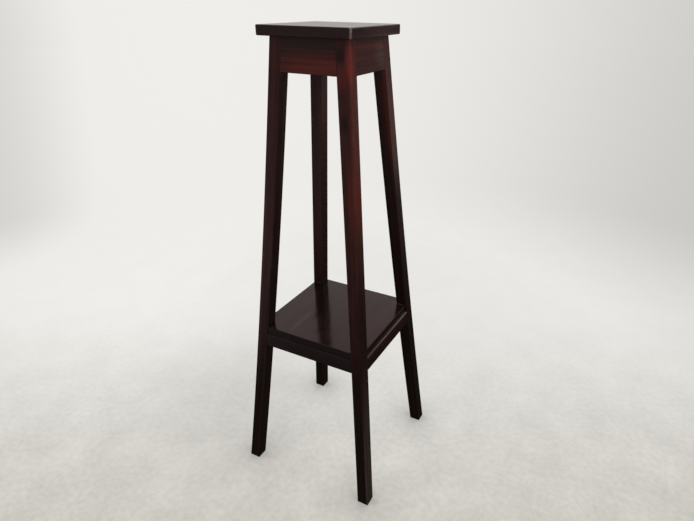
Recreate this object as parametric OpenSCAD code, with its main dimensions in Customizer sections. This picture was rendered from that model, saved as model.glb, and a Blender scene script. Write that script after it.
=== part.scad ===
// Tall square plant stand: splayed, slightly bowed legs, a small top and a low shelf on rails.
// Millimetres. +Z is up, the front faces -Y, and the origin is on the floor in the middle.

/* [Overall] */
// Height from the floor to the top surface
stand_h = 1000; // [900:10:1100]

/* [Top] */
// Width and depth of the square top
top_w = 194; // [186:1:230]
// Thickness of the top
top_t = 18; // [16:1:24]
// Radius of the top's rounded edges
top_edge_r = 2.5; // [1:0.5:4]
// Radius of the top's upright corners
top_corner_r = 4; // [2:0.5:8]

/* [Leg frame] */
// Width over the legs just under the top
neck_w = 161; // [150:1:175]
// Depth over the legs just under the top
neck_d = 156; // [150:1:175]
// Width over the feet
foot_w = 336; // [300:2:380]
// Depth over the feet
foot_d = 334; // [300:2:380]
// How far the legs bow inwards at mid height, seen from the front
bow_w = 2.4; // [0:0.2:6]
// How far the legs bow inwards at mid height, seen from the side
bow_d = 4.8; // [0:0.2:6]

/* [Legs] */
// Width of a leg's square section
leg_w = 26; // [24:1:30]
// Width that the eased corner takes off each face of a leg
leg_arris = 1.2; // [0.5:0.1:3]

/* [Aprons] */
// Height of the aprons under the top
apron_h = 61; // [45:1:80]
// Thickness of the aprons
apron_t = 18; // [14:1:20]
// Width that the eased edges take off the aprons
apron_arris = 0.8; // [0.3:0.1:2]

/* [Shelf] */
// Height of the shelf's upper surface above the floor
shelf_z = 382.6; // [300:0.2:450]
// Thickness of the shelf
shelf_t = 18; // [16:1:24]
// Radius of the shelf's rounded edges and corners
shelf_edge_r = 1.5; // [0.5:0.5:4]
// How far the shelf's side edges lie inside the legs' outer faces
shelf_side_set = 2.5; // [0:0.5:8]
// How far the shelf's front and back edges lie inside the legs' outer faces
shelf_front_set = 0.2; // [0:0.2:8]
// Gap between the shelf's notches and the legs
notch_gap = 0.6; // [0.2:0.1:2]
// Distance of the left board joint from the middle of the shelf
shelf_joint_left = 50; // [30:1:60]
// Distance of the right board joint from the middle of the shelf
shelf_joint_right = 27; // [15:1:60]

/* [Rails] */
// Height of the rails under the shelf
rail_h = 30; // [24:1:45]
// Thickness of the rails
rail_t = 18; // [14:1:20]
// Width that the eased edges take off the rails
rail_arris = 1.5; // [0.5:0.1:3]

/* [Joints] */
// Thickness of the tenons
tenon_t = 7; // [5:0.5:9]
// Step between a rail's or apron's edge and its tenon
tenon_shoulder = 6; // [4:0.5:9]
// Gap round a tenon in its mortise
mortise_gap = 0.2; // [0.1:0.05:0.5]

/* [Corner blocks] */
// Length of a corner block along each apron
block_l = 44; // [40:1:50]
// Height of the corner blocks
block_h = 24; // [20:1:32]

/* [Screws] */
// Diameter of the screws' shank
screw_d = 4; // [3:0.5:5]
// Diameter of the screws' head
screw_head_d = 8; // [7:0.5:9]
// Height of the screws' head
screw_head_h = 2.6; // [2:0.2:3.4]
// Length of the screws under the head
screw_l = 27; // [25:1:29]
// How far a screw reaches into the board that it holds
screw_bite = 11; // [8:0.5:13]
// Gap round a screw's shank and head
screw_gap = 0.3; // [0.1:0.1:0.6]

/* [Hidden] */

frame_h = stand_h - top_t;             // height of the legs
apron_z = frame_h - apron_h;           // underside of the aprons
rail_top_z = shelf_z - shelf_t;        // the rails' top edge carries the shelf
rail_z = rail_top_z - rail_h;          // underside of the rails
reach = foot_w + foot_d;               // longer than anything that a cut has to cross
bow_steps = 12;                        // straight lengths that a leg's bow is made of
lap = 1;                               // how far joined pieces and cutters run past a face
head_flat = 0.6;                       // share of a screw head's width that is flat
head_rim = 0.4;                        // share of a screw head's height that is upright
front_grain = "#3a1c18";
side_grain = "#45211b";
top_grain = "#4b2620";
block_wood = "#8a6a4c";
screw_steel = "#a8a294";
$fn = 36;

// How far down the leg a height lies: 0 under the top, 1 on the floor.
function down(z) = (frame_h - z) / frame_h;

// The bow at a height, for a bow of the given depth.
function bow(z, depth) = 4 * depth * down(z) * (1 - down(z));

// Half the width over the legs, and half the depth, at a height.
function half_w(z) = (neck_w + (foot_w - neck_w) * down(z)) / 2 - bow(z, bow_w);
function half_d(z) = (neck_d + (foot_d - neck_d) * down(z)) / 2 - bow(z, bow_d);

// The middle of the back right leg at a height, measured along a level direction.
function leg_mid(z, angle) =
    (half_w(z) - leg_w / 2) * cos(angle) + (half_d(z) - leg_w / 2) * sin(angle);

// Turns a flat outline, drawn outwards and up, to stand along a level direction.
module stand_along(angle, length) {
    rotate([0, 0, angle])
        rotate([90, 0, 0])
            linear_extrude(height = length, center = true)
                children();
}

// Everything between two distances from the leg's middle line, along a level direction.
// It follows the splay and the bow, so whatever is cut with it lies true to the leg.
module band(angle, from, to) {
    heights = [for (i = [0 : bow_steps]) frame_h * i / bow_steps];
    near_side = [for (z = heights) [leg_mid(z, angle) + from, z]];
    far_side = [for (i = [bow_steps : -1 : 0]) [leg_mid(heights[i], angle) + to, heights[i]]];
    stand_along(angle, 2 * reach)
        polygon(concat(near_side, far_side));
}

// A level slice of the stand between two heights.
module slice(z0, z1) {
    translate([-reach, -reach, z0])
        cube([2 * reach, 2 * reach, z1 - z0]);
}

// Puts what is drawn in the back right corner into any corner, or on any side.
module place(side_x, side_y) {
    mirror([side_x < 0 ? 1 : 0, 0, 0])
        mirror([0, side_y < 0 ? 1 : 0, 0])
            children();
}

// ---- Tenons and mortises -------------------------------------------------------------------

// A tenon in the back right leg, of a rail whose outer face looks along wall. Two tenons meet
// in each leg, so their ends are mitred against each other. grow widens it into its mortise.
module tenon(wall, z0, z1, rung_t, grow) {
    along = 90 - wall;
    outer = leg_w / 2 - (rung_t - tenon_t) / 2;
    mitre = mortise_gap - grow;
    intersection() {
        band(wall, outer - tenon_t - grow, outer + grow);
        band(along, -leg_w / 2 - lap, outer + grow);
        if (wall == 90)
            band(135, mitre, reach);
        else
            band(135, -reach, -mitre);
        slice(z0 + tenon_shoulder - grow, z1 - tenon_shoulder + grow);
    }
}

// ---- Legs ----------------------------------------------------------------------------------

// A leg is sawn to its splay and bow from the front and from the side, then its four
// corners are eased by two more passes across the diagonals.
module leg_blank() {
    corner = (leg_w - leg_arris) / sqrt(2);
    intersection() {
        band(0, -leg_w / 2, leg_w / 2);
        band(90, -leg_w / 2, leg_w / 2);
        band(45, -corner, corner);
        band(135, -corner, corner);
    }
}

module leg(side_x, side_y) {
    color(side_grain)
        place(side_x, side_y)
            difference() {
                leg_blank();
                for (wall = [0, 90]) {
                    tenon(wall, apron_z, frame_h, apron_t, mortise_gap);
                    tenon(wall, rail_z, rail_top_z, rail_t, mortise_gap);
                }
            }
}

// ---- Aprons and rails ----------------------------------------------------------------------

// The outline, seen from its end, that eases the edges of an apron or rail. Its upright
// sides lie outside the wood, so that only its level and slanting sides cut.
module rung_outline(wall, z0, z1, rung_t, c) {
    out0 = leg_mid(z0, wall) + leg_w / 2;
    out1 = leg_mid(z1, wall) + leg_w / 2;
    polygon([
        [out0 - rung_t + c, z0], [out0 - c, z0],
        [out0 + lap, z0 + c + lap], [out1 + lap, z1 - c - lap],
        [out1 - c, z1], [out1 - rung_t + c, z1],
        [out1 - rung_t - lap, z1 - c - lap], [out0 - rung_t - lap, z0 + c + lap]
    ]);
}

// An apron or rail between two legs, with a mitred tenon at each end. wall is the direction
// that its outer face looks: 90 for one along the back, 0 for one along the right side.
// Its outer face is flush with the legs. arris is the width that its eased edges take off.
module rung(wall, z0, z1, rung_t, arris) {
    along = 90 - wall;
    flip = wall == 90 ? [1, 0, 0] : [0, 1, 0];
    intersection() {
        band(wall, leg_w / 2 - rung_t, leg_w / 2);
        stand_along(wall, 2 * reach)
            rung_outline(wall, z0, z1, rung_t, arris);
        band(along, -reach, -leg_w / 2);
        mirror(flip)
            band(along, -reach, -leg_w / 2);
    }
    tenon(wall, z0, z1, rung_t, 0);
    mirror(flip)
        tenon(wall, z0, z1, rung_t, 0);
}

module apron(wall, side) {
    color(wall == 90 ? front_grain : side_grain)
        place(side, side)
            rung(wall, apron_z, frame_h, apron_t, apron_arris);
}

// The front and back rails also have a counterbored hole under each shelf board.
module rail(wall, side) {
    color(wall == 90 ? front_grain : side_grain)
        difference() {
            place(side, side)
                rung(wall, rail_z, rail_top_z, rail_t, rail_arris);
            if (wall == 90)
                for (x = board_mids)
                    translate([x, side * rail_mid_y, rail_z])
                        screw_hole(rail_h);
        }
}

// ---- Screws --------------------------------------------------------------------------------

// A round-headed wood screw, pointing up, with its head's seat at the origin.
module screw() {
    tip = screw_d;
    rotate_extrude()
        polygon([
            [0, -screw_head_h], [head_flat * screw_head_d / 2, -screw_head_h],
            [screw_head_d / 2, -head_rim * screw_head_h], [screw_head_d / 2, 0],
            [screw_d / 2, 0], [screw_d / 2, screw_l - tip], [0, screw_l]
        ]);
}

// The hole for a screw that comes up through a piece of the given height, from its underside:
// a counterbore that leaves the screw its bite in the board above, then a clearance hole.
module screw_hole(piece_h) {
    seat = screw_seat(piece_h);
    translate([0, 0, -lap])
        cylinder(d = screw_head_d + 2 * screw_gap, h = seat + lap);
    cylinder(d = screw_d + 2 * screw_gap, h = piece_h + lap);
}

// Height of a screw's seat above the underside of the piece that it comes up through.
function screw_seat(piece_h) = piece_h + screw_bite - screw_l;

// The blind hole that a screw ends in, drawn upwards from the board's underside.
module pilot_hole() {
    translate([0, 0, -lap])
        cylinder(d = screw_d + 2 * screw_gap, h = screw_bite + screw_gap + lap);
}

// ---- Shelf ---------------------------------------------------------------------------------

shelf_half_w = half_w(shelf_z) - shelf_side_set;
shelf_half_d = half_d(shelf_z) - shelf_front_set;
board_edges = [-shelf_half_w, -shelf_joint_left, shelf_joint_right, shelf_half_w];
leg_inside_x = half_w(rail_top_z) - leg_w;

// The middle of each shelf board, between the legs that stand in its way.
board_mids = [for (i = [0 : 2])
    (max(board_edges[i], -leg_inside_x) + min(board_edges[i + 1], leg_inside_x)) / 2];
rail_mid_y = half_d((rail_z + rail_top_z) / 2) - rail_t / 2;

// A rectangle with rounded corners, about the origin.
module rounded(w, h, r) {
    square([w - 2 * r, h], center = true);
    square([w, h - 2 * r], center = true);
    for (x = [-1, 1], y = [-1, 1])
        translate([x * (w / 2 - r), y * (h / 2 - r)])
            circle(r = r);
}

// A level board from a height up, with rounded edges and upright corners. Its edges are
// rounded along its sides and across its corners.
module rounded_board(w, d, t, edge_r, corner_r, z0) {
    diagonal = (w + d) / sqrt(2) - 2 * (sqrt(2) - 1) * corner_r;
    translate([0, 0, z0 + t / 2])
        intersection() {
            stand_along(0, d)
                rounded(w, t, edge_r);
            stand_along(90, w)
                rounded(d, t, edge_r);
            stand_along(45, w + d)
                rounded(diagonal, t, edge_r);
            stand_along(135, w + d)
                rounded(diagonal, t, edge_r);
            linear_extrude(height = t, center = true)
                rounded(w, d, corner_r);
        }
}

// One shelf board: its share of the shelf, notched where it meets a leg.
module shelf_board(i) {
    color(top_grain)
        difference() {
            intersection() {
                rounded_board(2 * shelf_half_w, 2 * shelf_half_d, shelf_t,
                              shelf_edge_r, shelf_edge_r, rail_top_z);
                translate([board_edges[i], -reach, rail_top_z])
                    cube([board_edges[i + 1] - board_edges[i], 2 * reach, shelf_t]);
            }
            for (x = [-1, 1], y = [-1, 1])
                place(x, y)
                    intersection() {
                        band(0, -leg_w / 2 - notch_gap, reach);
                        band(90, -leg_w / 2 - notch_gap, reach);
                    }
            for (side = [-1, 1])
                translate([board_mids[i], side * rail_mid_y, rail_top_z])
                    pilot_hole();
        }
}

module shelf_screws() {
    color(screw_steel)
        for (x = board_mids, side = [-1, 1])
            translate([x, side * rail_mid_y, rail_z + screw_seat(rail_h)])
                screw();
}

// ---- Corner blocks and top -----------------------------------------------------------------

// How far a block's screw lies inside the outer faces of the legs: halfway between the
// block's notch round the leg and its long face.
block_span = 2 * apron_t + block_l;
screw_inset = (leg_w + notch_gap + block_span / 2) / 2;
block_z = frame_h - block_h;
top_screw_x = half_w(block_z) - screw_inset;
top_screw_y = half_d(block_z) - screw_inset;

// A block in the corner of two aprons, notched round the leg.
module corner_block(side_x, side_y) {
    color(block_wood)
        place(side_x, side_y)
            difference() {
                intersection() {
                    band(0, -reach, leg_w / 2 - apron_t);
                    band(90, -reach, leg_w / 2 - apron_t);
                    band(45, (leg_w - block_span) / sqrt(2), reach);
                    slice(block_z, frame_h);
                }
                intersection() {
                    band(0, -leg_w / 2 - notch_gap, reach);
                    band(90, -leg_w / 2 - notch_gap, reach);
                }
                translate([top_screw_x, top_screw_y, block_z])
                    screw_hole(block_h);
            }
}

module top_screws() {
    color(screw_steel)
        for (x = [-1, 1], y = [-1, 1])
            translate([x * top_screw_x, y * top_screw_y, block_z + screw_seat(block_h)])
                screw();
}

// Half of the top, glued to the other half along the middle. side is -1 on the left.
module top_board(side) {
    color(top_grain)
        difference() {
            intersection() {
                rounded_board(top_w, top_w, top_t, top_edge_r, top_corner_r, frame_h);
                translate([side > 0 ? 0 : -top_w, -top_w, frame_h])
                    cube([top_w, 2 * top_w, top_t]);
            }
            for (y = [-1, 1])
                translate([side * top_screw_x, y * top_screw_y, frame_h])
                    pilot_hole();
        }
}

top_board(-1);  // top_board_left
top_board(1);  // top_board_right
leg(-1, -1);  // leg_front_left
leg(1, -1);  // leg_front_right
leg(-1, 1);  // leg_back_left
leg(1, 1);  // leg_back_right
apron(90, -1);  // apron_front
apron(90, 1);  // apron_back
apron(0, -1);  // apron_left
apron(0, 1);  // apron_right
shelf_board(0);  // shelf_board_left
shelf_board(1);  // shelf_board_middle
shelf_board(2);  // shelf_board_right
rail(90, -1);  // rail_front
rail(90, 1);  // rail_back
rail(0, -1);  // rail_left
rail(0, 1);  // rail_right
corner_block(-1, -1);  // corner_block_front_left
corner_block(1, -1);  // corner_block_front_right
corner_block(-1, 1);  // corner_block_back_left
corner_block(1, 1);  // corner_block_back_right
top_screws();
shelf_screws();
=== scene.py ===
"""The looks of a tall square plant stand in dark lacquered hardwood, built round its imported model.

Metres throughout. +Z is up, the front faces -Y and the origin is on the floor in the middle.
"""

import math
from collections import namedtuple

import bmesh
import bpy
from mathutils import Matrix, Vector


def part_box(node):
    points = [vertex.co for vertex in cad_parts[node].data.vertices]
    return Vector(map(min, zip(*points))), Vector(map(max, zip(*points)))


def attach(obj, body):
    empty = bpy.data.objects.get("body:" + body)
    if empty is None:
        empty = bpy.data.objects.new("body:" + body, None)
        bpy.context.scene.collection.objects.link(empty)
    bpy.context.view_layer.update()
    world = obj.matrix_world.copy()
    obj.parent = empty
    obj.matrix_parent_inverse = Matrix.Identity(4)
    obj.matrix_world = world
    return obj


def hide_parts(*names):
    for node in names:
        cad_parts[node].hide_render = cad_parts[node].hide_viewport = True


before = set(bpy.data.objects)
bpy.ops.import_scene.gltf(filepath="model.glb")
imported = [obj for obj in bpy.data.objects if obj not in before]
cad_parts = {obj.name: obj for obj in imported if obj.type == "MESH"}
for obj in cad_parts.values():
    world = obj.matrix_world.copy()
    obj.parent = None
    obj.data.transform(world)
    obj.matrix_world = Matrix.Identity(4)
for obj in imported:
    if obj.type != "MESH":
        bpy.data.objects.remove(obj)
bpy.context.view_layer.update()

bl_info = {
    "name": "Plant Stand",
    "version": (1, 0, 0),
    "blender": (4, 5, 0),
    "location": "3D View > Sidebar > Plant Stand",
    "description": "Finishes a plant stand's legs, rungs, boards and screws, and its studio",
    "category": "Object",
}

BODY = "root"
TOUCH = 1e-5  # corners closer than this lie in one place
MERGE = TOUCH / 10  # and closer than this are made one
FLAT = math.radians(0.5)  # faces that meet at less than this are made one
SHARP = math.radians(30)  # faces that meet at more than this meet in an arris

LEGS = {
    "leg_front_left": (-1, -1),
    "leg_front_right": (1, -1),
    "leg_back_left": (-1, 1),
    "leg_back_right": (1, 1),
}
APRONS = ("apron_front", "apron_back", "apron_left", "apron_right")
RAILS = ("rail_front", "rail_back", "rail_left", "rail_right")
SHELF_BOARDS = ("shelf_board_left", "shelf_board_middle", "shelf_board_right")
TOP_BOARDS = ("top_board_left", "top_board_right")
CORNER_BLOCKS = tuple(leg.replace("leg", "corner_block") for leg in LEGS)
SCREWS = ("top_screws", "shelf_screws")


# ---- Sizes read from the frame ----


def corners_at(node, height):
    """The corners of a CAD node that lie at a height."""
    corners = (v.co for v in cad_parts[node].data.vertices)
    return [c for c in corners if abs(c.z - height) < TOUCH]


def reach_at(node, height):
    """How far a CAD node reaches from the stand's middle at a height, across and deep."""
    corners = corners_at(node, height)
    return Vector((max(abs(c.x) for c in corners), max(abs(c.y) for c in corners), 0))


LEG_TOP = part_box("leg_front_right")[1].z
NECK = reach_at("leg_front_right", LEG_TOP)
FOOT = reach_at("leg_front_right", 0)
BOW = (NECK + FOOT) / 2 - reach_at("leg_front_right", LEG_TOP / 2)
LEG_SECTION = NECK.x - min(abs(c.x) for c in corners_at("leg_front_right", LEG_TOP))


def outer_reach(height):
    """How far the legs' outer faces lie from the middle at a height, by their splay and bow."""
    down = 1 - height / LEG_TOP
    return NECK + (FOOT - NECK) * down - BOW * 4 * down * (1 - down)


# ---- Node trees ----


def find_socket(sockets, key):
    """A node's socket by its place or its identifier."""
    if isinstance(key, int):
        return sockets[key]
    return next(s for s in sockets if s.identifier == key)


class Wire:
    """One output socket. Arithmetic on it adds Math nodes, or Vector Math nodes on a vector."""

    def __init__(self, nodes, socket):
        self.nodes = nodes
        self.socket = socket

    def other(self, identifier):
        """Another output of the same node."""
        return Wire(self.nodes, find_socket(self.socket.node.outputs, identifier))

    def __add__(self, value):
        return self.nodes.math("ADD", self, value)

    def __radd__(self, value):
        return self.nodes.math("ADD", value, self)

    def __sub__(self, value):
        return self.nodes.math("SUBTRACT", self, value)

    def __rsub__(self, value):
        return self.nodes.math("SUBTRACT", value, self)

    def __mul__(self, value):
        return self.nodes.math("MULTIPLY", self, value)

    def __rmul__(self, value):
        return self.nodes.math("MULTIPLY", value, self)

    def __truediv__(self, value):
        return self.nodes.math("DIVIDE", self, value)

    def __neg__(self):
        return self * -1

    def __abs__(self):
        return self.nodes.math("ABSOLUTE", self)


class Nodes:
    """A node tree that is being built."""

    def __init__(self, tree):
        self.tree = tree

    def add(self, kind, inputs=None, output=0, **settings):
        """Adds a node: its settings first, then its sockets' values or links. Returns one of its
        outputs."""
        node = self.tree.nodes.new(kind)
        for name, value in settings.items():
            setattr(node, name, value)
        for key, value in (inputs or {}).items():
            socket = find_socket(node.inputs, key)
            for wire in value if isinstance(value, list) else [value]:
                if isinstance(wire, Wire):
                    self.tree.links.new(wire.socket, socket)
                else:
                    socket.default_value = wire
        return Wire(self, find_socket(node.outputs, output)) if node.outputs else node

    def math(self, operation, *values):
        """A Math node, or a Vector Math node where one of the values is a vector or colour."""
        plain = [isinstance(v, (int, float)) for v in values]
        single = [isinstance(v, Wire) and v.socket.type in {"VALUE", "INT"} for v in values]
        if all(p or s for p, s in zip(plain, single)):
            return self.add("ShaderNodeMath", dict(enumerate(values)), operation=operation)
        full = [(v, v, v) if p else v for p, v in zip(plain, values)]
        return self.add("ShaderNodeVectorMath", dict(enumerate(full)), operation=operation)

    def dot(self, vector, axis):
        """How far a vector reaches along an axis."""
        return self.math("DOT_PRODUCT", vector, tuple(axis)).other("Value")

    def norm(self, vector):
        """How long a vector is."""
        return self.math("LENGTH", vector).other("Value")

    def here(self):
        """The point that a geometry tree is asked about."""
        return self.add("GeometryNodeInputPosition")

    def split(self, vector):
        """The three numbers of a vector."""
        first = self.add("ShaderNodeSeparateXYZ", {"Vector": vector})
        return first, first.other("Y"), first.other("Z")

    def join(self, x, y, z):
        """A vector of three numbers."""
        return self.add("ShaderNodeCombineXYZ", {"X": x, "Y": y, "Z": z})

    def ramp(self, value, low, high, start=0.0):
        """start where a value is below low, 1 above high, and smooth between them."""
        return self.add(
            "ShaderNodeMapRange",
            {"Value": value, "From Min": low, "From Max": high, "To Min": start},
            interpolation_type="SMOOTHSTEP",
        )

    def clamp(self, value, low=0.0, high=1.0):
        """A value kept between two others."""
        return self.math("MINIMUM", self.math("MAXIMUM", value, low), high)

    def blend(self, factor, first, second):
        """One colour turning into another."""
        return self.add(
            "ShaderNodeMix",
            {"Factor_Float": factor, "A_Color": first, "B_Color": second},
            "Result_Color",
            data_type="RGBA",
        )

    def noise(self, place, stretch, detail=2.0, distortion=0.0):
        """Soft noise from 0 to 1, with so many grains to the metre along each axis."""
        inputs = {"Vector": place * stretch, "Scale": 1.0}
        inputs |= {"Detail": detail, "Distortion": distortion}
        return self.add("ShaderNodeTexNoise", inputs, "Fac")

    def bump(self, height, strength, distance, under=None):
        """A normal made uneven by a height, over a distance in metres, on top of another one."""
        inputs = {"Strength": strength, "Distance": distance, "Height": height}
        if under:
            inputs["Normal"] = under
        return self.add("ShaderNodeBump", inputs)

    def up(self, height):
        """A vector that points straight up."""
        return self.join(0.0, 0.0, height)

    def line(self, start, end, count):
        """A straight curve with so many points."""
        line = self.add("GeometryNodeCurvePrimitiveLine", {"Start": start, "End": end})
        return self.add("GeometryNodeResampleCurve", {"Curve": line, "Count": count})

    def raised(self, geometry, height):
        """A shape moved up."""
        inputs = {"Geometry": geometry, "Translation": self.up(height)}
        return self.add("GeometryNodeTransform", inputs)

    def circle(self, sides, radius):
        """A round curve with so many sides."""
        inputs = {"Resolution": sides, "Radius": radius}
        return self.add("GeometryNodeCurvePrimitiveCircle", inputs)

    def sweep(self, curve, profile, scale=1.0):
        """A profile drawn along a curve into a bar with closed ends."""
        return self.add(
            "GeometryNodeCurveToMesh",
            {"Curve": curve, "Profile Curve": profile, "Scale": scale, "Fill Caps": True},
        )

    def moved(self, geometry, position):
        """A shape with each of its points put at a position."""
        return self.add("GeometryNodeSetPosition", {"Geometry": geometry, "Position": position})

    def cut(self, solid, tool):
        """A closed shape less another."""
        return self.add(
            "GeometryNodeMeshBoolean",
            {"Mesh 1": solid, "Mesh 2": tool},
            operation="DIFFERENCE",
            solver="EXACT",
        )


def open_tree(name, sockets):
    """A new geometry tree with named inputs, and a wire from each."""
    tree = bpy.data.node_groups.new(name, "GeometryNodeTree")
    tree.interface.new_socket("Geometry", in_out="OUTPUT", socket_type="NodeSocketGeometry")
    for label, kind, default in sockets:
        made = tree.interface.new_socket(label, in_out="INPUT", socket_type="NodeSocket" + kind)
        if default is not None:
            made.default_value = default
    nodes = Nodes(tree)
    source = tree.nodes.new("NodeGroupInput")
    return nodes, {s.name: Wire(nodes, s) for s in source.outputs if s.name}


def close_tree(nodes, geometry, material):
    """Ends a geometry tree with real geometry in its material."""
    real = nodes.add("GeometryNodeRealizeInstances", {"Geometry": geometry})
    clad = nodes.add("GeometryNodeSetMaterial", {"Geometry": real, "Material": material})
    nodes.add("NodeGroupOutput", {0: clad})
    return nodes.tree


def grow(name, tree, values, mesh=None):
    """The plain object that a geometry tree makes, from a mesh and values for its inputs."""
    piece = bpy.data.objects.new(name, mesh or bpy.data.meshes.new(name))
    bpy.context.scene.collection.objects.link(piece)
    modifier = piece.modifiers.new("grown", "NODES")
    modifier.node_group = tree
    for item in tree.interface.items_tree:
        if item.in_out == "INPUT" and item.name in values:
            modifier[item.identifier] = values[item.name]
    graph = bpy.context.evaluated_depsgraph_get()
    grown = bpy.data.meshes.new_from_object(piece.evaluated_get(graph), depsgraph=graph)
    piece.modifiers.remove(modifier)
    piece.data = grown
    return piece


# ---- Sizes and colours that a user would change ----


def colour(name, description, default):
    """A colour property, in linear light."""
    return bpy.props.FloatVectorProperty(
        name=name, description=description, default=default, subtype="COLOR", min=0, max=1
    )


def length(name, description, default):
    """A length property, in metres."""
    return bpy.props.FloatProperty(
        name=name, description=description, default=default, unit="LENGTH", min=0, precision=4
    )


def angle(name, description, degrees):
    """An angle property."""
    return bpy.props.FloatProperty(
        name=name, description=description, default=math.radians(degrees), unit="ROTATION"
    )


def share(name, description, default):
    """A property from 0 to 1."""
    return bpy.props.FloatProperty(
        name=name, description=description, default=default, min=0, max=1, subtype="FACTOR"
    )


class StandSizes(bpy.types.PropertyGroup):
    """Sizes of the stand's finish. The legs' section starts as the frame's."""

    leg_section: length("Leg section", "Width of a leg's square section", LEG_SECTION)
    leg_arris: length("Leg arris", "Radius of a leg's worn corners", 0.0006)
    leg_end: length("Leg end", "Easing of a leg's two ends", 0.0008)
    rung_arris: length("Rung arris", "Easing of the aprons' and rails' edges", 0.0005)
    board_arris: length("Board arris", "Easing of the boards' notches", 0.0007)
    block_arris: length("Block arris", "Easing of the corner blocks' edges", 0.0008)
    ring_spacing: length("Ring spacing", "Width of one year's growth in the wood", 0.0030)
    head_width: length("Screw head width", "Diameter of a screw's round head", 0.008)
    head_height: length("Screw head height", "Height of a screw's round head", 0.0026)
    shank_width: length("Screw width", "Diameter of a screw's shank", 0.004)
    screw_length: length("Screw length", "Length of a screw under its head", 0.027)
    recess_width: length("Recess width", "Span of the cross recess in a screw's head", 0.0044)
    thread_pitch: length("Thread pitch", "Rise of a screw's thread in one turn", 0.0018)


class StandFinish(bpy.types.PropertyGroup):
    """Colours and gloss of the stand's woods and metal."""

    heart: colour("Heartwood", "The stained wood's main colour", (0.037, 0.0110, 0.0096))
    # Also painted shade on the front left leg's inner face.
    vein: colour("Veins", "The stained wood's dark veins", (0.0092, 0.0038, 0.0040))
    # Also part of a painted sheen on the right apron.
    ember: colour("Embers", "Red wood where the stain took least", (0.160, 0.0210, 0.0130))
    # The darkest stain, also used to paint shade on the legs: lower down, near the shelf and on
    # inner faces.
    soot: colour("Darkest stain", "Wood that drank the stain", (0.0050, 0.0034, 0.0026))
    # Also painted shade along the front apron's upper half, under the top.
    end_grain: colour("End grain", "The stained boards' sawn ends", (0.0105, 0.0078, 0.0080))
    # This colour paints only highlights and reflections: the top's near corner, the right rail's top
    # edge, the shelf's notches, light streaks and faces on two legs, and a sheen on the right apron.
    bare: colour("Bare edges", "Edges where the stain is rubbed off", (0.126, 0.095, 0.088))
    frame_sheen: colour("Frame sheen", "Tint of the frame's lacquer", (1.0, 0.88, 0.92))
    board_sheen: colour("Board sheen", "Tint of the boards' lacquer", (1.0, 0.62, 0.60))
    worn: colour("Worn arrises", "Edges where the stain is rubbed thin", (0.065, 0.030, 0.026))
    frame_gloss: share("Frame roughness", "Roughness of the frame's lacquer", 0.2)
    board_gloss: share("Board roughness", "Roughness of the boards' lacquer", 0.11)
    softwood: colour("Softwood", "The bare corner blocks", (0.43, 0.27, 0.14))
    steel: colour("Screw steel", "The zinc-plated screws", (0.52, 0.50, 0.46))


class StandStudio(bpy.types.PropertyGroup):
    """The floor, the backdrop and the camera."""

    facing: angle("Facing", "Where the backdrop faces, from the front towards +X", 26.56)
    floor: colour("Floor", "The pale floor in front of the stand", (0.60, 0.58, 0.53))
    backdrop: colour("Backdrop", "The pale surroundings", (0.87, 0.86, 0.83))
    azimuth: angle("Azimuth", "Where the camera stands, from the front towards +X", 26.56)
    elevation: angle("Elevation", "How far the camera looks down", 26.80)
    roll: angle("Roll", "How far the camera is tilted to one side", 0.65)
    distance: length("Distance", "From the camera to the point that it looks at", 1.1718)
    aim_aside: length("Aim aside", "How far to the right of the stand the camera looks", 0.0852)
    aim_height: length("Aim height", "How high the camera looks", 0.5118)
    lens: bpy.props.FloatProperty(
        name="Lens", description="Focal length on a 36 mm sensor", default=27.08, unit="CAMERA"
    )


# ---- Finishes ----

FAR = 10.0  # a half size that no surface comes near, for a direction that has no edges
LOG_STEP = Vector((0.731, 0.257, 0.413))  # from one piece's place in the log to the next's

# The hardwood's figure, in grains to the metre along, across and deep into a piece's own grain.
WANDER = (2.2, 16, 16)  # the path of the log's pith
ZONES = (1.3, 46, 46)  # broad light and dark parts
VEINS = (3.0, 190, 190)
FIBRES = (9, 900, 900)
PORES = (55, 2600, 2600)
BLOTCHES = (22, 34, 34)  # stain that went in unevenly
STREAKS = (2.5, 160, 160)  # streaks through a patch
RAGGED = (7, 60, 60)  # a patch's outline
RUBBING = (18, 60, 60)  # rubbed and unrubbed lengths of an arris
CLOUDS = (14, 26, 26)  # uneven gloss
RIPPLES = (16, 34, 34)  # uneven lacquer

SAWN_FROM, SAWN_FULL = 0.0030, 0.0018  # how near a board's end its end grain starts to show
ARRIS_FULL, ARRIS_TO = 0.0004, 0.0022  # how far from its edge an arris is rubbed
SOFTWOOD_RINGS = 330  # to the metre

# How a piece of hardwood was sawn and how it took the stain. seed picks its place in the log,
# pith is how far the log's middle lies across and below the piece, and depth is how dark it
# is. A patch is a soft-edged area of another colour: its middle and reach are in the piece's
# own grain, along, across and deep. Some patches are painted shade, painted highlights and
# painted reflections, as noted beside them.
Cut = namedtuple("Cut", "seed pith depth patches")
Patch = namedtuple("Patch", "colour middle reach strength")


def sawn(seed, pith, depth, *patches):
    """A cut with any number of patches."""
    return Cut(seed, pith, depth, patches)


# Painted shade: each leg darker from about the shelf down to its foot.
FOOT_SHADE = Patch("soot", (-0.49, 0, 0), (0.50, FAR, FAR), 0.9)
RED_END = Patch("worn", (-0.097, 0, 0), (0.004, FAR, FAR), 0.08)

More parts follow.
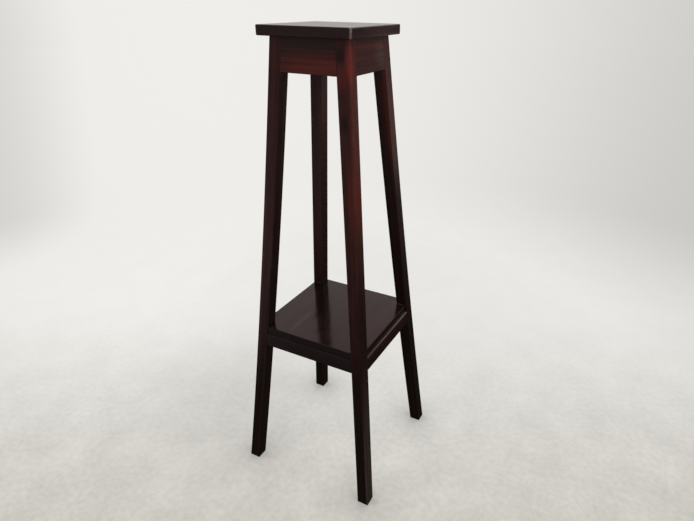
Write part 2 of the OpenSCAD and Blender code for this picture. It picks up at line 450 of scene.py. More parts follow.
CUTS = {
    "leg_front_left": sawn(
        1,
        (0.022, 0.030),
        0.0,
        FOOT_SHADE,
        # Painted shade on the inner +X face, over most of its height and darkest just above the
        # shelf.
        Patch("vein", (0.10, 0.016, 0), (0.70, 0.012, FAR), 0.6),
        Patch("soot", (-0.07, 0.016, 0), (0.14, 0.012, FAR), 0.9),
    ),
    "leg_front_right": sawn(
        2,
        (-0.030, 0.024),
        0.0,
        FOOT_SHADE,
        Patch("ember", (0.38, 0.020, 0.0), (0.30, 0.018, 0.026), 0.30),
        Patch("ember", (0.22, 0.010, -0.004), (0.085, 0.020, 0.020), 0.20),
        Patch("ember", (0.430, -0.002, -0.016), (0.030, 0.022, 0.010), 0.22),
        Patch("ember", (0.452, 0.015, -0.009), (0.040, 0.011, 0.013), 1.0),
        # The next patch is painted shade on the +X face near the shelf.
        Patch("soot", (-0.03, 0.016, 0), (0.13, 0.012, FAR), 0.6),
        Patch("soot", (0.352, -0.001, -0.013), (0.020, 0.009, 0.010), 0.75),
        Patch("soot", (0.464, -0.004, -0.013), (0.016, 0.010, 0.010), 0.5),
        # Painted reflection: the lower +X face lighter and greyer.
        Patch("bare", (-0.38, 0.015, 0), (0.24, 0.006, FAR), 0.24),
    ),
    "leg_back_left": sawn(
        3,
        (0.034, -0.020),
        0.25,
        FOOT_SHADE,
        Patch("ember", (0.36, 0.016, 0), (0.16, 0.006, FAR), 0.11),
    ),
    "leg_back_right": sawn(
        4,
        (-0.026, -0.030),
        0.5,
        FOOT_SHADE,
        # Painted shade over the inner -Y face, darkest at mid-height.
        Patch("soot", (0.08, 0, -0.016), (0.46, FAR, 0.014), 0.7),
        Patch("ember", (0.42, 0.016, 0), (0.24, 0.014, FAR), 0.26),
        # Painted highlight: a light streak by the +X arris near the top.
        Patch("bare", (0.45, 0.015, 0), (0.05, 0.006, FAR), 0.15),
    ),
    "apron_front": sawn(
        5,
        (-0.034, 0.050),
        0.3,
        Patch("ember", (0.018, -0.023, 0), (0.115, 0.033, FAR), 0.27),
        Patch("worn", (-0.01, -0.010, 0), (0.14, 0.036, FAR), 0.12),
        # Painted shade: a dark grey band along the upper half, under the top's overhang.
        Patch("end_grain", (0.02, 0.026, 0), (0.11, 0.024, FAR), 0.6),
    ),
    "apron_back": sawn(6, (0.020, 0.060), 0.2),
    "apron_left": sawn(7, (0.010, 0.055), 0.2),
    "apron_right": sawn(
        8,
        (-0.020, 0.060),
        0.0,
        Patch("ember", (0.0, -0.004, 0), (0.20, 0.035, FAR), 0.17),
        Patch("ember", (-0.01, 0.015, 0), (0.06, 0.004, FAR), 0.25),
        # Painted reflection: a lighter, pinker sheen towards the back leg.
        Patch("bare", (0.052, 0, 0), (0.040, 0.030, FAR), 0.3),
        Patch("ember", (0.052, 0, 0), (0.040, 0.030, FAR), 0.08),
    ),
    "rail_front": sawn(
        9, (0.024, 0.050), 0.7, Patch("end_grain", (0, 0, 0), (FAR, FAR, FAR), 0.75)
    ),
    "rail_back": sawn(10, (-0.024, 0.050), 0.5),
    "rail_left": sawn(11, (0.012, 0.060), 0.5),
    "rail_right": sawn(
        12,
        (-0.012, 0.045),
        0.3,
        # Painted highlight along the outer top arris, brightest towards the back leg.
        Patch("bare", (0.07, 0.015, 0.010), (0.15, 0.0022, 0.006), 1.0),
        Patch("bare", (-0.06, 0.015, 0.010), (0.12, 0.0020, 0.006), 0.4),
    ),
    "shelf_board_left": sawn(
        13,
        (-0.070, -0.070),
        0.8,
        Patch("worn", (-0.070, -0.052, 0), (0.060, 0.010, FAR), 0.3),
        # Painted highlight along the notch's front edge at the back left leg.
        Patch("bare", (0.1004, -0.119, 0.009), (0.0016, 0.012, 0.003), 0.6),
    ),
    "shelf_board_middle": sawn(14, (-0.005, -0.090), 0.9),
    "shelf_board_right": sawn(
        15,
        (0.090, -0.060),
        0.8,
        # Painted highlight along the notch's front edge at the back right leg.
        Patch("bare", (0.1004, 0.112, 0.009), (0.0016, 0.020, 0.003), 0.6),
    ),
    "top_board_left": sawn(16, (-0.060, -0.080), 0.3, RED_END),
    "top_board_right": sawn(
        17,
        (0.040, -0.070),
        0.1,
        RED_END,
        Patch("soot", (-0.075, 0.097, 0), (0.035, 0.006, FAR), 0.5),
        Patch("worn", (0.030, 0.097, 0), (0.060, 0.006, FAR), 0.3),
        # Painted highlight on the top's rounded near corner.
        Patch("bare", (-0.097, 0.097, 0), (0.0040, 0.0040, FAR), 1.0),
    ),
}


def new_material(name):
    """A material with an empty tree."""
    material = bpy.data.materials.new(name)
    material.use_nodes = True
    material.node_tree.nodes.clear()
    return material, Nodes(material.node_tree)


def shade(nodes, inputs):
    """Ends a material with a Principled shader."""
    surface = nodes.add("ShaderNodeBsdfPrincipled", inputs)
    nodes.add("ShaderNodeOutputMaterial", {"Surface": surface})


def edge_distance(nodes, place, half):
    """How far a point of a box-like piece lies from its nearest edge: of its distances from
    the three pairs of faces, the one in the middle."""
    x, y, z = nodes.split(abs(place))
    dx, dy, dz = half.x - x, half.y - y, half.z - z
    low = nodes.math("MINIMUM", dx, dy)
    high = nodes.math("MAXIMUM", dx, dy)
    return nodes.math("MAXIMUM", low, nodes.math("MINIMUM", high, dz))


def lacquered_hardwood(name, half, part):
    """Stained hardwood under lacquer. half is half the piece's size, in its own grain, and part
    is the frame or board that its lacquer is mixed for."""
    finish = bpy.context.scene.stand_finish
    sizes = bpy.context.scene.stand_sizes
    gloss, sheen = getattr(finish, part + "_gloss"), getattr(finish, part + "_sheen")
    cut = CUTS[name]
    material, nodes = new_material(name + "_wood")
    place = nodes.add("ShaderNodeAttribute", output="Vector", attribute_name="grain")
    log = place + tuple(LOG_STEP * cut.seed)
    along, across, deep = nodes.split(place)

    # The years' growth, round a pith that wanders along the log.
    wander = (nodes.noise(log, WANDER, 3) - 0.5) * 0.022
    from_pith = nodes.join(0.0, across + cut.pith[0] + wander, deep + cut.pith[1])
    year = nodes.math("FRACT", nodes.norm(from_pith) / sizes.ring_spacing)
    late = nodes.ramp(year, 0.45, 0.95)

    # Veins, fibres and pores run along the grain.
    zones = nodes.ramp(nodes.noise(log, ZONES, 3, 0.4), 0.34, 0.66)
    vein = nodes.ramp(nodes.noise(log, VEINS, 4), 0.42, 0.72)
    fibre = nodes.noise(log, FIBRES, 3)
    pore = nodes.ramp(nodes.noise(log, PORES, 1), 0.60, 0.72)

    # The stain, and the patches, some of which paint shade, highlights and reflections.
    blotch = nodes.noise(log, BLOTCHES, 4) - 0.5
    figure = zones * 0.55 + late * 0.20 + vein * 0.30 + (fibre - 0.5) * 0.35
    dark = figure + blotch * 0.7 + cut.depth - 0.1
    wood = nodes.blend(nodes.clamp(dark), (*finish.heart, 1), (*finish.vein, 1))
    wood = nodes.blend(nodes.clamp(dark - 1), wood, (*finish.soot, 1))
    ends = nodes.ramp(abs(along), half.x - SAWN_FROM, half.x - SAWN_FULL)
    wood = nodes.blend(ends * 0.9, wood, (*finish.end_grain, 1))
    streak = 0.6 + 0.8 * nodes.ramp(nodes.noise(log, STREAKS, 3), 0.3, 0.7)
    ragged = (nodes.noise(log, RAGGED, 3) - 0.5) * 0.5
    for patch in cut.patches:
        away = nodes.norm((place - patch.middle) / patch.reach) + ragged
        full = (1 - nodes.ramp(away, 0.3, 1.2)) * streak * patch.strength
        wood = nodes.blend(nodes.clamp(full), wood, (*getattr(finish, patch.colour), 1))

    # Rubbed arrises.
    patchy = nodes.ramp(nodes.noise(log, RUBBING, 3), 0.35, 0.70)
    arris = 1 - nodes.ramp(edge_distance(nodes, place, half), ARRIS_FULL, ARRIS_TO)
    rub = arris * patchy
    wood = nodes.blend(arris * (1 - patchy) * 0.6, wood, (*finish.soot, 1))
    wood = nodes.blend(rub * 0.12, wood, (*finish.worn, 1))

    # The lacquer.
    cloud = nodes.noise(log, CLOUDS, 3)
    relief = late * 0.25 + fibre * 0.5 - pore * 0.5
    grain_bump = nodes.bump(relief, 0.22, 0.00012)
    shade(
        nodes,
        {
            "Base Color": wood,
            "Roughness": gloss + (cloud - 0.5) * 0.08 + pore * 0.08 + arris * 0.10,
            "Normal": nodes.bump(nodes.noise(log, RIPPLES), 0.35, 0.0012, grain_bump),
            "IOR": 1.5,
            "Specular Tint": (*sheen, 1),
        },
    )
    return material


def bare_softwood(name, seed):
    """Planed softwood with no finish. seed picks its place in the log."""
    finish = bpy.context.scene.stand_finish
    material, nodes = new_material(name)
    place = nodes.add("ShaderNodeTexCoord", output="Object")
    log = place + tuple(LOG_STEP * seed)
    wander = nodes.noise(log, (9, 9, 26)) * 0.05
    year = nodes.math("FRACT", (wander + nodes.split(log)[2]) * SOFTWOOD_RINGS)
    late = nodes.ramp(year, 0.5, 0.95)
    fibre = nodes.noise(log, (60, 60, 1500), 3)
    light = (*finish.softwood, 1)
    dark = (*(c * 0.55 for c in finish.softwood), 1)
    wood = nodes.blend(late * 0.6 + fibre * 0.25, light, dark)
    bump = nodes.bump(late * 0.4 + fibre, 0.4, 0.0003)
    shade(nodes, {"Base Color": wood, "Roughness": 0.62 + fibre * 0.2, "Normal": bump})
    return material


def plated_steel(name):
    """Dull zinc-plated steel."""
    finish = bpy.context.scene.stand_finish
    material, nodes = new_material(name)
    place = nodes.add("ShaderNodeTexCoord", output="Object")
    cloud = nodes.noise(place, (700, 700, 700), 3)
    bright = (*finish.steel, 1)
    dull = (*(c * 0.45 for c in finish.steel), 1)
    shade(
        nodes,
        {
            "Base Color": nodes.blend(nodes.ramp(cloud, 0.3, 0.75), bright, dull),
            "Metallic": 1.0,
            "Roughness": 0.28 + cloud * 0.25,
            "Normal": nodes.bump(cloud, 0.2, 0.0001),
        },
    )
    return material


# ---- Legs ----


def leg_tree():
    """A square leg that follows the stand's splay and bow, cut where the rungs' tenons enter."""
    nodes, given = open_tree(
        "splayed_leg",
        [
            ("Height", "Float", 1.0),
            ("Section", "Float", 0.03),
            ("Arris", "Float", 0.001),
            ("End easing", "Float", 0.001),
            ("Neck", "Vector", (0.1, 0.1, 0)),
            ("Foot", "Vector", (0.2, 0.2, 0)),
            ("Bow", "Vector", (0, 0, 0)),
            ("Corner", "Vector", (1, 1, 0)),
            ("Lengths", "Int", 24),
            ("Arris steps", "Int", 4),
            ("Rungs", "Collection", None),
            ("Material", "Material", None),
        ],
    )
    height, section, end = given["Height"], given["Section"], given["End easing"]

    def centre(z):
        """The middle of the leg's section at a height."""
        down = 1 - z / height
        splayed = given["Neck"] + (given["Foot"] - given["Neck"]) * down
        outer = splayed - given["Bow"] * (down * (1 - down) * 4)
        return (outer - section / 2) * given["Corner"]

    # An upright line, with a short length at each end for the easing.
    line = nodes.line((0, 0, 0), nodes.up(height), given["Lengths"] + 3)
    step = (height - end * 2) / given["Lengths"]
    climb = end + (nodes.add("GeometryNodeInputIndex") - 1) * step
    path = nodes.moved(line, nodes.up(nodes.clamp(climb, 0.0, height)))

    square = nodes.add(
        "GeometryNodeCurvePrimitiveQuadrilateral", {"Width": section, "Height": section}
    )
    profile = nodes.add(
        "GeometryNodeFilletCurve",
        {"Curve": square, "Count": given["Arris steps"], "Radius": given["Arris"]},
        mode="POLY",
    )
    bar = nodes.sweep(path, profile)

    # The bar leans and bows into its corner of the stand.
    x, y, z = nodes.split(nodes.here())
    inset = nodes.math("MAXIMUM", end - nodes.math("MINIMUM", z, height - z), 0.0)
    slim = 1 - inset * 2 / section
    blank = nodes.moved(bar, nodes.join(x * slim, y * slim, z) + centre(z))

    # The mortises.
    loose = nodes.add("GeometryNodeCollectionInfo", {"Collection": given["Rungs"]})
    joined = nodes.add("GeometryNodeRealizeInstances", {"Geometry": loose})
    rungs = nodes.add("GeometryNodeMergeByDistance", {"Geometry": joined, "Distance": MERGE})
    leg = nodes.cut(blank, rungs)

    # The grain runs up the leg.
    place = nodes.here()
    x, y, z = nodes.split(place - centre(nodes.split(place)[2]))
    grain = nodes.add(
        "GeometryNodeStoreNamedAttribute",
        {"Geometry": leg, "Name": "grain", "Value": nodes.join(z - height / 2, x, y)},
        data_type="FLOAT_VECTOR",
        domain="POINT",
    )
    return close_tree(nodes, grain, given["Material"])


def soften(piece):
    """Smooth shading that keeps the flats flat and the arrises round."""
    piece.data.shade_smooth()
    piece.data.set_sharp_from_angle(angle=SHARP)
    modifier = piece.modifiers.new("flats", "WEIGHTED_NORMAL")
    modifier.keep_sharp = True


def seat(piece, node):
    """Puts a finished piece on the stand in place of its CAD node."""
    soften(piece)
    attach(piece, BODY)
    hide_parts(node)


class STAND_OT_legs(bpy.types.Operator):
    """Make the four splayed and bowed legs"""

    bl_idname = "stand.legs"
    bl_label = "Legs"

    def execute(self, context):
        sizes = context.scene.stand_sizes
        rungs = bpy.data.collections.new("rungs")
        for node in APRONS + RAILS:
            rungs.objects.link(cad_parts[node])
        tree = leg_tree()
        half = Vector((FAR, sizes.leg_section / 2, sizes.leg_section / 2))
        for node, corner in LEGS.items():
            values = {
                "Height": LEG_TOP,
                "Section": sizes.leg_section,
                "Arris": sizes.leg_arris,
                "End easing": sizes.leg_end,
                "Neck": NECK,
                "Foot": FOOT,
                "Bow": BOW,
                "Corner": (*corner, 0),
                "Rungs": rungs,
                "Material": lacquered_hardwood(node, half, "frame"),
            }
            leg = grow(node + "_finished", tree, values)
            seat(leg, node)
        bpy.data.collections.remove(rungs)
        return {"FINISHED"}


# ---- Aprons, rails and boards ----


def eased_copy(node, ease, material, grain_of, joints=()):
    """A CAD node as one closed mesh of whole faces, with its outer edges eased. grain_of gives
    a point's place in the piece's own grain: along, across and deep. joints are the places
    along X where it is glued to its neighbours, and stays sharp."""
    name = node + "_finished"
    work = bmesh.new()
    work.from_mesh(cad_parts[node].data)
    bmesh.ops.remove_doubles(work, verts=work.verts, dist=MERGE)
    bmesh.ops.dissolve_limit(work, angle_limit=FLAT, verts=work.verts, edges=work.edges)

    def glued(edge):
        return any(all(abs(v.co.x - x) < TOUCH for v in edge.verts) for x in joints)

    sharp = [e for e in work.edges if e.is_convex and e.calc_face_angle(0) > SHARP]
    bmesh.ops.bevel(
        work,
        geom=[e for e in sharp if not glued(e)],
        offset=ease,
        offset_type="OFFSET",
        segments=2,
        profile=0.5,
        affect="EDGES",
        clamp_overlap=True,
    )
    mesh = bpy.data.meshes.new(name)
    work.to_mesh(mesh)
    work.free()
    mesh.materials.append(material)
    grain = mesh.attributes.new("grain", "FLOAT_VECTOR", "POINT")
    grain.data.foreach_set("vector", [n for v in mesh.vertices for n in grain_of(v.co)])
    piece = bpy.data.objects.new(name, mesh)
    bpy.context.scene.collection.objects.link(piece)
    return piece


def make_rung(node):
    """An apron or rail. Its grain runs from leg to leg, and its outer face follows the legs."""
    sizes = bpy.context.scene.stand_sizes
    low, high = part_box(node)
    middle = (low.z + high.z) / 2
    along, out = (1, 0) if node.endswith(("_left", "_right")) else (0, 1)

    def depth(point):
        return outer_reach(point.z)[out] - abs(point[out])

    thick = max(depth(v.co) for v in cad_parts[node].data.vertices)
    half = Vector((FAR, (high.z - low.z) / 2, thick / 2))
    rung = eased_copy(
        node,
        sizes.rung_arris,
        lacquered_hardwood(node, half, "frame"),
        lambda p: (p[along], p.z - middle, half.z - depth(p)),
    )
    seat(rung, node)


class STAND_OT_aprons(bpy.types.Operator):
    """Make the four aprons under the top"""

    bl_idname = "stand.aprons"
    bl_label = "Aprons"

    def execute(self, context):
        for node in APRONS:
            make_rung(node)
        return {"FINISHED"}


class STAND_OT_rails(bpy.types.Operator):
    """Make the four rails under the shelf"""

    bl_idname = "stand.rails"
    bl_label = "Rails"

    def execute(self, context):
        for node in RAILS:
            make_rung(node)
        return {"FINISHED"}


def make_panel(boards):
    """Boards glued side by side into one level panel, with their grain along Y."""
    sizes = bpy.context.scene.stand_sizes
    low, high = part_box(boards[0])[0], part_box(boards[-1])[1]
    middle = (low.z + high.z) / 2
    half = Vector((high.y, high.x, high.z - middle))
    joints = [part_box(node)[1].x for node in boards[:-1]]
    for node in boards:
        board = eased_copy(
            node,
            sizes.board_arris,
            lacquered_hardwood(node, half, "board"),
            lambda p: (p.y, p.x, p.z - middle),
            joints,
        )
        seat(board, node)


class STAND_OT_shelf(bpy.types.Operator):
    """Make the three boards of the notched shelf"""

    bl_idname = "stand.shelf"
    bl_label = "Shelf"

    def execute(self, context):
        make_panel(SHELF_BOARDS)
        return {"FINISHED"}


class STAND_OT_top(bpy.types.Operator):
    """Make the two boards of the top"""

    bl_idname = "stand.top"
    bl_label = "Top"

    def execute(self, context):
        make_panel(TOP_BOARDS)
        return {"FINISHED"}


class STAND_OT_blocks(bpy.types.Operator):
    """Make the four corner blocks under the top"""

    bl_idname = "stand.blocks"
    bl_label = "Corner blocks"

    def execute(self, context):
        sizes = context.scene.stand_sizes
        for seed, node in enumerate(CORNER_BLOCKS, 1):
            softwood = bare_softwood(node + "_wood", seed)
            block = eased_copy(node, sizes.block_arris, softwood, lambda p: p)
            seat(block, node)
        return {"FINISHED"}


# ---- Screws ----


def screw_tree():
    """A round-headed, cross-recessed wood screw that points up from each seat."""
    nodes, given = open_tree(
        "round_head_screw",
        [
            ("Seats", "Geometry", None),
            ("Head width", "Float", 0.008),
            ("Head height", "Float", 0.0026),
            ("Rim share", "Float", 0.4),
            ("Shank width", "Float", 0.004),
            ("Length", "Float", 0.027),
            ("Recess width", "Float", 0.004),
            ("Recess slot", "Float", 0.001),
            ("Recess depth", "Float", 0.0014),
            ("Thread pitch", "Float", 0.0018),
            ("Thread height", "Float", 0.0004),
            ("Seed", "Int", 1),
            ("Material", "Material", None),
        ],
    )
    head_r, head_h = given["Head width"] / 2, given["Head height"]
    shank_r, reach = given["Shank width"] / 2, given["Length"]

    # The head: a disc whose underside swells into a dome.
    disc = nodes.add(
        "GeometryNodeMeshCylinder",
        {"Vertices": 32, "Fill Segments": 6, "Radius": head_r, "Depth": head_h},
        fill_type="TRIANGLE_FAN",
    )
    x, y, z = nodes.split(nodes.here())
    off = (x * x + y * y) / (head_r * head_r)
    swell = nodes.math("SQRT", nodes.math("MAXIMUM", 1 - off, 0.0))
    dome = given["Rim share"] + (1 - given["Rim share"]) * swell
    under = nodes.math("LESS_THAN", z, 0.0)
    head = nodes.moved(disc, nodes.join(x, y, -under * dome * head_h))

    # The cross recess.
    slot, deep = given["Recess slot"], given["Recess depth"]
    bars = [
        nodes.raised(nodes.add("GeometryNodeMeshCube", {"Size": size}), -head_h)
        for size in (
            nodes.join(given["Recess width"], slot, deep * 2),
            nodes.join(slot, given["Recess width"], deep * 2),
        )
    ]
    recessed = nodes.cut(head, bars)

    # The shank, which starts a little way inside the head, and its blunt point.
    axis = nodes.line(nodes.up(head_h * -0.1), nodes.up(reach), 28)
    z = nodes.split(nodes.here())[2]
    taper = nodes.clamp((reach - z) / given["Shank width"], 0.04, 1.0)
    shank = nodes.sweep(axis, nodes.circle(20, shank_r), taper)

    # The thread, from just under the head to the start of the point.
    threaded = reach - given["Shank width"] * 1.5
    helix = nodes.add(
        "GeometryNodeCurveSpiral",
        {
            "Resolution": 18,
            "Rotations": threaded / given["Thread pitch"],
            "Start Radius": shank_r,
            "End Radius": shank_r,
            "Height": threaded,
        },
    )
    path = nodes.raised(helix, given["Shank width"] / 2)
    thread = nodes.sweep(path, nodes.circle(3, given["Thread height"]))

    solid = nodes.add(
        "GeometryNodeMeshBoolean",
        {"Mesh 2": [recessed, shank]},
        operation="UNION",
        solver="EXACT",
    )
    screw = nodes.add("GeometryNodeJoinGeometry", {"Geometry": [solid, thread]})

    # One on each seat, its recess turned at random.
    turn = nodes.add(
        "FunctionNodeRandomValue",
        {"Max_001": math.tau, "Seed": given["Seed"]},
        "Value_001",
        data_type="FLOAT",
    )
    spin = nodes.add("FunctionNodeEulerToRotation", {"Euler": nodes.up(turn)})
    screws = nodes.add(
        "GeometryNodeInstanceOnPoints",
        {"Points": given["Seats"], "Instance": screw, "Rotation": spin},
    )
    return close_tree(nodes, screws, given["Material"])


def screw_seats(node, head_height):
    """Where the screws of a CAD node seat, as a mesh with a point in the middle of each."""
    work = bmesh.new()
    work.from_mesh(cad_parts[node].data)
    bmesh.ops.remove_doubles(work, verts=work.verts, dist=MERGE)
    left = set(work.verts)
    seats = []
    while left:
        reached = [left.pop()]
        for vert in reached:
            near = {e.other_vert(vert) for e in vert.link_edges} & left
            reached.extend(near)
            left -= near
        corners = [v.co for v in reached]
        low = Vector(min(c[i] for c in corners) for i in range(3))
        high = Vector(max(c[i] for c in corners) for i in range(3))
        seats.append(((low.x + high.x) / 2, (low.y + high.y) / 2, low.z + head_height))
    work.free()
    mesh = bpy.data.meshes.new(node + "_seats")
    mesh.from_pydata(sorted(seats), [], [])
    return mesh


class STAND_OT_screws(bpy.types.Operator):
    """Make the screws that hold the top and the shelf"""

    bl_idname = "stand.screws"
    bl_label = "Screws"

    def execute(self, context):
        sizes = context.scene.stand_sizes
        tree = screw_tree()
        steel = plated_steel("plated_steel")
        for seed, node in enumerate(SCREWS, 1):
            values = {
                "Head width": sizes.head_width,
                "Head height": sizes.head_height,
                "Shank width": sizes.shank_width,
                "Length": sizes.screw_length,
                "Recess width": sizes.recess_width,
                "Thread pitch": sizes.thread_pitch,
                "Seed": seed,
                "Material": steel,
            }
            seats = screw_seats(node, sizes.head_height)
            screws = grow(node + "_finished", tree, values, seats)
            seat(screws, node)
        return {"FINISHED"}


# ---- Studio ----

FLOOR_RADIUS = 14.0
SENSOR_WIDTH = 36  # millimetres
SHIFT = (-0.0396, 0.0043)  # the photograph's middle lies off the lens's axis
BRIGHT_LEFT = math.radians(18)  # how far left of the stand the backdrop is brightest
BRIGHT_FROM = 1.05  # how far in front of the stand the floor's brightness fans out from
FAN_EASING = 0.6  # the radius within which that fan evens out
BLACK = (0, 0, 0, 1)
BOUNCE = (0.12, 0.11, 0.10, 1)  # the floor's colour in the light that it throws back

# What the floor does between two distances in metres: from the stand's middle, or behind it, or
# to its right.
SWEEP_ROUND = (0.6, 2.4)  # turns into backdrop
SWEEP_BEHIND = (-0.45, 0.72)  # turns into backdrop, and loses its mottling
STEEP_ROUND = (1.5, 2.4)  # takes the dark left end of the backdrop
DUSK_RIGHT = (-1.0, 0.1)  # gets a little darker towards the right
SHADOWED = (0.3, 1.2)  # takes less of the lamps' shadows

CONTACT = 0.11  # how near the floor a part of the stand has to be to shade it
POOL_LEFT, POOL_BEHIND, POOL_RADIUS = 0.30, 0.16, 0.42  # a soft shade beside the stand

# Where the mirrored floor's bright parts end, as steps to the right for each step back.
MIRROR_BEHIND = math.tan(math.radians(27.5))
MIRROR_FRONT = 0.62

Lamp = namedtuple("Lamp", "name place target size power mirrored")  # in metres and watts

LAMPS = (
    Lamp("overhead", (0, 0, 2.7), (0, 0, 0), 0.9, 34, True),
    Lamp("window", (2.2, -1.4, 1.6), (0, 0, 0.7), 2.0, 36, False),
    Lamp("key", (0.6, -2.7, 1.0), (0, 0, 0.6), 1.6, 38, False),
    Lamp("back", (-1.8, 2.4, 1.4), (0, 0, 0.6), 1.6, 70, False),
)


def level_axes(azimuth):
    """Level directions to the right of someone who looks in from an azimuth, and away."""
    right = Vector((math.cos(azimuth), math.sin(azimuth), 0))
    return right, Vector((-math.sin(azimuth), math.cos(azimuth), 0))


def falloff(nodes, way, studio, easing=0.0):
    """How much darker the pale backdrop gets away from its brightest part, left of the stand:
    slowly all round, and steeply at its left end. easing is the radius, in metres, within which
    both even out round their start."""
    right, ahead = level_axes(studio.facing + BRIGHT_LEFT)
    level = nodes.math("NORMALIZE", way * (1, 1, 0) + (0, 0, easing))
    slow = nodes.ramp(1 - nodes.dot(level, ahead), -0.05, 0.45) * 0.33
    steep = nodes.ramp(-nodes.dot(level, right), 0.13, 0.33) * 0.24
    return slow, steep


def seen_floor(nodes, place, studio):
    """The floor as the camera sees it, its far part as backdrop: the glow that no lamp changes,
    and the colour that takes the lamps' light and shadows."""
    right, ahead = level_axes(studio.facing)
    away, aside, behind = nodes.norm(place), nodes.dot(place, right), nodes.dot(place, ahead)
    far = nodes.ramp(away, *SWEEP_ROUND)
    sweep = nodes.math("MAXIMUM", nodes.ramp(behind, *SWEEP_BEHIND), far)
    tone = nodes.blend(sweep, (*studio.floor, 1), (*studio.backdrop, 1))

    # Mottling near the stand.
    clouds = nodes.noise(place, (9, 9, 9), 6) - 0.5
    grit = nodes.noise(place, (70, 70, 70), 3) - 0.5
    mottle = (clouds * 0.38 + grit * 0.32) * (1 - sweep * 0.8) * (1 - far)

    # Shade: where the stand touches the floor, and softly beside it.
    open_to = nodes.add("ShaderNodeAmbientOcclusion", {"Distance": CONTACT}, "AO", samples=4)
    touch = nodes.ramp(open_to, 0.62, 0.97, 0.62)
    from_pool = nodes.norm(place - tuple(ahead * POOL_BEHIND - right * POOL_LEFT))
    pool = nodes.ramp(from_pool, 0.0, POOL_RADIUS, 0.87)

    # The backdrop's dusk, and a little on the floor that leads up to it.
    fan = place + tuple(ahead * BRIGHT_FROM)
    slow, steep = falloff(nodes, fan, studio, FAN_EASING)
    wall = nodes.math("MAXIMUM", slow * far, steep * nodes.ramp(away, *STEEP_ROUND))
    before = nodes.ramp(aside, *DUSK_RIGHT) * sweep * (1 - far) * 0.08
    dusk = nodes.math("MAXIMUM", wall, before)

    steady = nodes.ramp(away, *SHADOWED, 0.95)
    glow = tone * ((1 - dusk) * (1 + mottle) * steady * touch * pool)
    return glow, tone * ((1 - steady) * touch * 0.75)


def mirrored_floor(nodes, place):
    """The floor as lacquer mirrors it: dim, and brighter far behind the stand and to its front
    left."""
    x, y, _ = nodes.split(place)
    behind = nodes.ramp(y, 1.9, 3.6) * (1 - nodes.ramp(x - y * MIRROR_BEHIND, -0.10, 0.25))
    front = nodes.ramp(-y, 0.3, 0.9) * nodes.ramp(y * MIRROR_FRONT - x, -0.10, 0.20)
    dim = nodes.ramp(nodes.norm(place), 0.7, 2.0) * (0.06, 0.05, 0.04) + (0.03, 0.025, 0.018)
    return dim + (behind * 0.26 + front * 0.12)


def floor_material(studio):
    """A pale floor, in three: what the camera sees, what lacquer mirrors, and what it throws
    back as light."""
    material, nodes = new_material("studio_floor")
    place = nodes.add("ShaderNodeTexCoord", output="Object")
    seen = nodes.add("ShaderNodeLightPath", output="Is Camera Ray")
    mirrored = seen.other("Is Glossy Ray")
    glow, lit = seen_floor(nodes, place, studio)
    dim = mirrored_floor(nodes, place)
    shade(
        nodes,
        {
            "Base Color": nodes.blend(seen, nodes.blend(mirrored, BOUNCE, BLACK), lit),
            "Emission Color": nodes.blend(seen, dim * mirrored, glow),
            "Emission Strength": 1.0,
            "Specular IOR Level": 0.0,
        },
    )
    return material


def make_floor(studio):
    """A great level disc under the stand."""
    work = bmesh.new()
    bmesh.ops.create_circle(work, cap_ends=True, segments=96, radius=FLOOR_RADIUS)
    mesh = bpy.data.meshes.new("studio_floor")
    work.to_mesh(mesh)
    work.free()
    mesh.materials.append(floor_material(studio))
    floor = bpy.data.objects.new("studio_floor", mesh)
    bpy.context.scene.collection.objects.link(floor)


def make_world(studio):
    """Pale surroundings. The camera sees the backdrop. The stand is lit by and mirrors a room that
    is bright behind it and high up, and dim in front of it."""
    world = bpy.data.worlds.new("studio_world")
    bpy.context.scene.world = world
    world.use_nodes = True
    world.node_tree.nodes.clear()
    nodes = Nodes(world.node_tree)
    way = nodes.add("ShaderNodeTexCoord", output="Generated")
    facing = nodes.dot(way, level_axes(studio.facing)[1])
    high = nodes.ramp(nodes.split(way)[2], 0.05, 0.35) * nodes.ramp(facing, 0.0, 0.5)
    glow = 0.12 + 0.5 * high + 0.4 * nodes.ramp(facing, 0.90, 0.98)
    room = nodes.join(glow, glow * 0.98, glow * 0.96)
    dusk = nodes.math("MAXIMUM", *falloff(nodes, way, studio))
    plain = tuple(studio.backdrop) * (1 - dusk)
    seen = nodes.add("ShaderNodeLightPath", output="Is Camera Ray")
    light = nodes.add("ShaderNodeBackground", {"Color": nodes.blend(seen, room, plain)})
    nodes.add("ShaderNodeOutputWorld", {"Surface": light})


def make_lamp(name, place, target, size, power, mirrored):
    """A square soft lamp that the camera doesn't see. Lacquer mirrors it, or takes only light."""
    light = bpy.data.lights.new(name, "AREA")
    light.size = size
    light.energy = power
    lamp = bpy.data.objects.new(name, light)
    lamp.location = place
    lamp.rotation_euler = (Vector(target) - Vector(place)).to_track_quat("-Z", "Y").to_euler()
    lamp.visible_camera = False
    lamp.visible_glossy = mirrored
    bpy.context.scene.collection.objects.link(lamp)


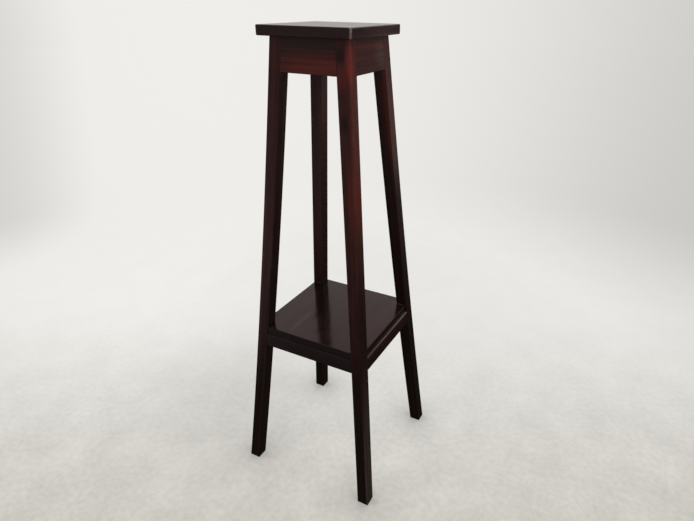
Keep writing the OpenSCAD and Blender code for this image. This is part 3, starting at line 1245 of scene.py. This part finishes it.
def make_camera(studio):
    """The camera, at the photograph's viewing angle."""
    right, ahead = level_axes(studio.azimuth)
    up = Vector((0, 0, 1))
    back = up * math.sin(studio.elevation) - ahead * math.cos(studio.elevation)
    target = right * studio.aim_aside + up * studio.aim_height
    level = Matrix((right, back.cross(right), back)).transposed()
    camera = bpy.data.objects.new("camera", bpy.data.cameras.new("camera"))
    camera.matrix_world = Matrix.LocRotScale(
        target + back * studio.distance,
        (level @ Matrix.Rotation(studio.roll, 3, "Z")).to_quaternion(),
        None,
    )
    camera.data.lens = studio.lens
    camera.data.sensor_width = SENSOR_WIDTH
    camera.data.shift_x, camera.data.shift_y = SHIFT
    bpy.context.scene.collection.objects.link(camera)
    bpy.context.scene.camera = camera


class STAND_OT_studio(bpy.types.Operator):
    """Make the floor, the surroundings, the lamps and the camera"""

    bl_idname = "stand.studio"
    bl_label = "Studio"

    def execute(self, context):
        studio = context.scene.stand_studio
        context.scene.view_settings.view_transform = "Standard"
        make_camera(studio)
        make_floor(studio)
        make_world(studio)
        for lamp in LAMPS:
            make_lamp(*lamp)
        return {"FINISHED"}


# ---- Add-on ----


class STAND_PT_panel(bpy.types.Panel):
    """The stand's pieces and settings, in the 3D view's sidebar"""

    bl_label = "Plant Stand"
    bl_idname = "STAND_PT_panel"
    bl_space_type = "VIEW_3D"
    bl_region_type = "UI"
    bl_category = "Plant Stand"

    def draw(self, context):
        scene = context.scene
        for maker in MAKERS:
            self.layout.operator(maker.bl_idname)
        for settings in (scene.stand_sizes, scene.stand_finish, scene.stand_studio):
            box = self.layout.box()
            for name in settings.__annotations__:
                box.prop(settings, name)


MAKERS = (
    STAND_OT_legs,
    STAND_OT_aprons,
    STAND_OT_rails,
    STAND_OT_shelf,
    STAND_OT_top,
    STAND_OT_blocks,
    STAND_OT_screws,
    STAND_OT_studio,
)
CLASSES = (StandSizes, StandFinish, StandStudio, *MAKERS, STAND_PT_panel)


def register():
    for kind in CLASSES:
        bpy.utils.register_class(kind)
    bpy.types.Scene.stand_sizes = bpy.props.PointerProperty(type=StandSizes)
    bpy.types.Scene.stand_finish = bpy.props.PointerProperty(type=StandFinish)
    bpy.types.Scene.stand_studio = bpy.props.PointerProperty(type=StandStudio)


def unregister():
    del bpy.types.Scene.stand_studio
    del bpy.types.Scene.stand_finish
    del bpy.types.Scene.stand_sizes
    for kind in reversed(CLASSES):
        bpy.utils.unregister_class(kind)


def main():
    register()
    bpy.ops.stand.legs()
    bpy.ops.stand.aprons()
    bpy.ops.stand.rails()
    bpy.ops.stand.shelf()
    bpy.ops.stand.top()
    bpy.ops.stand.blocks()
    bpy.ops.stand.screws()
    bpy.ops.stand.studio()


if __name__ == "__main__":
    main()
